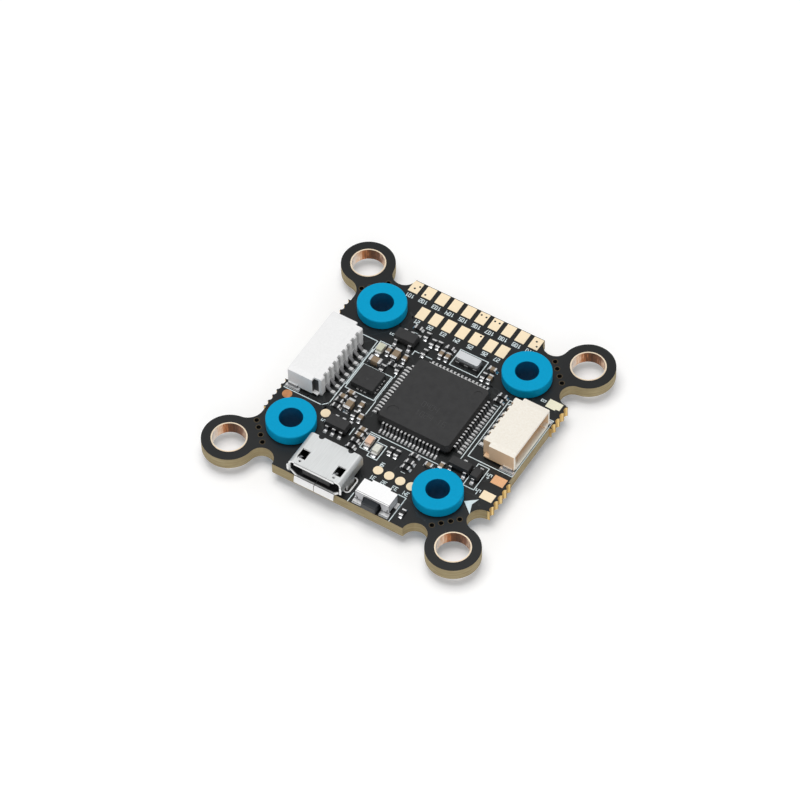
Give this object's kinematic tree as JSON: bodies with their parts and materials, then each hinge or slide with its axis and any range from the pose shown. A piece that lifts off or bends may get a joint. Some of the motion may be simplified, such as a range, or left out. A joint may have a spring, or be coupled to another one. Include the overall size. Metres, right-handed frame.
{
  "type": "flight controller board",
  "caption": "Square drone flight controller board with snap-off corner tabs, blue soft-mount grommets, a micro USB socket, wire sockets, a processor and a boot button.",
  "frame": {"origin": "centre of the 30.5 mm corner hole pattern, on the board's underside", "axes": "+Z out of the component side, +Y away from the USB socket edge, +X to the right seen from above"},
  "size_m": [0.037, 0.037, 0.006],
  "materials": {
    "solder_mask_laminate": "satin black solder mask over glass-fibre laminate",
    "gold_plating": "matt gold over copper",
    "blue_silicone": "satin silicone",
    "moulded_chip": "fine matt epoxy",
    "tinned_lead": "satin tin",
    "white_nylon": "satin nylon",
    "cream_nylon": "satin nylon",
    "stainless_shell": "stamped satin steel",
    "black_plastic": "satin",
    "contact_gold": "polished",
    "pale_ceramic": "matt",
    "led_resin": "cloudy resin",
    "brown_ceramic": "satin",
    "black_resistor": "glazed",
    "grey_ferrite": "matt"
  },
  "bodies": {
    "board": {"barometer_base": "pale_ceramic", "barometer_lid": "stainless_shell", "boot_switch_base": "black_plastic", "boot_switch_cover": "stainless_shell", "boot_switch_dome": "stainless_shell", "boot_switch_terminals": "tinned_lead", "capacitor_bodies": "brown_ceramic", "capacitor_end_caps": "tinned_lead", "circuit_board": "solder_mask_laminate", "diode_body": "moulded_chip", "diode_leads": "tinned_lead", "edge_plating": "gold_plating", "eight_pin_socket_housing": "white_nylon", "eight_pin_socket_pins": "tinned_lead", "eight_pin_socket_tabs": "tinned_lead", "flash_chip_package": "moulded_chip", "flash_chip_pads": "tinned_lead", "hole_plating": "gold_plating", "led_bases": "pale_ceramic", "led_lenses": "led_resin", "led_terminals": "tinned_lead", "motion_sensor_package": "moulded_chip", "motion_sensor_pads": "tinned_lead", "power_inductor_core": "grey_ferrite", "power_inductor_ends": "tinned_lead", "processor_leads": "tinned_lead", "processor_package": "moulded_chip", "regulator_bodies": "moulded_chip", "regulator_leads": "tinned_lead", "resistor_bodies": "black_resistor", "resistor_end_caps": "tinned_lead", "resonator_base": "pale_ceramic", "resonator_lid": "stainless_shell", "resonator_terminals": "tinned_lead", "six_pin_socket_housing": "cream_nylon", "six_pin_socket_pins": "tinned_lead", "six_pin_socket_tabs": "tinned_lead", "solder_pads": "gold_plating", "transistor_body": "moulded_chip", "transistor_leads": "tinned_lead", "usb_contacts": "contact_gold", "usb_insulator": "black_plastic", "usb_shell": "stainless_shell", "video_chip_leads": "tinned_lead", "video_chip_package": "moulded_chip"},
    "boot_button": {"boot_button": "black_plastic"},
    "grommet_front_left": {"grommet_front_left": "blue_silicone"},
    "grommet_front_right": {"grommet_front_right": "blue_silicone"},
    "grommet_back_left": {"grommet_back_left": "blue_silicone"},
    "grommet_back_right": {"grommet_back_right": "blue_silicone"}
  },
  "joints": [
    {"name": "boot_button_press", "type": "slide", "parent": "board", "child": "boot_button", "axis": [0, 1, 0], "range_m": [0, 0.0002], "stiffness_N_per_m": 3, "deforming": ["boot_switch_dome"]},
    {"name": "grommet_front_left_give", "type": "slide", "parent": "board", "child": "grommet_front_left", "axis": [0, 0, 1], "range_m": [-0.00007, 0.00007], "stiffness_N_per_m": 60},
    {"name": "grommet_front_right_give", "type": "slide", "parent": "board", "child": "grommet_front_right", "axis": [0, 0, 1], "range_m": [-0.00007, 0.00007], "stiffness_N_per_m": 60},
    {"name": "grommet_back_left_give", "type": "slide", "parent": "board", "child": "grommet_back_left", "axis": [0, 0, 1], "range_m": [-0.00007, 0.00007], "stiffness_N_per_m": 60},
    {"name": "grommet_back_right_give", "type": "slide", "parent": "board", "child": "grommet_back_right", "axis": [0, 0, 1], "range_m": [-0.00007, 0.00007], "stiffness_N_per_m": 60}
  ]
}
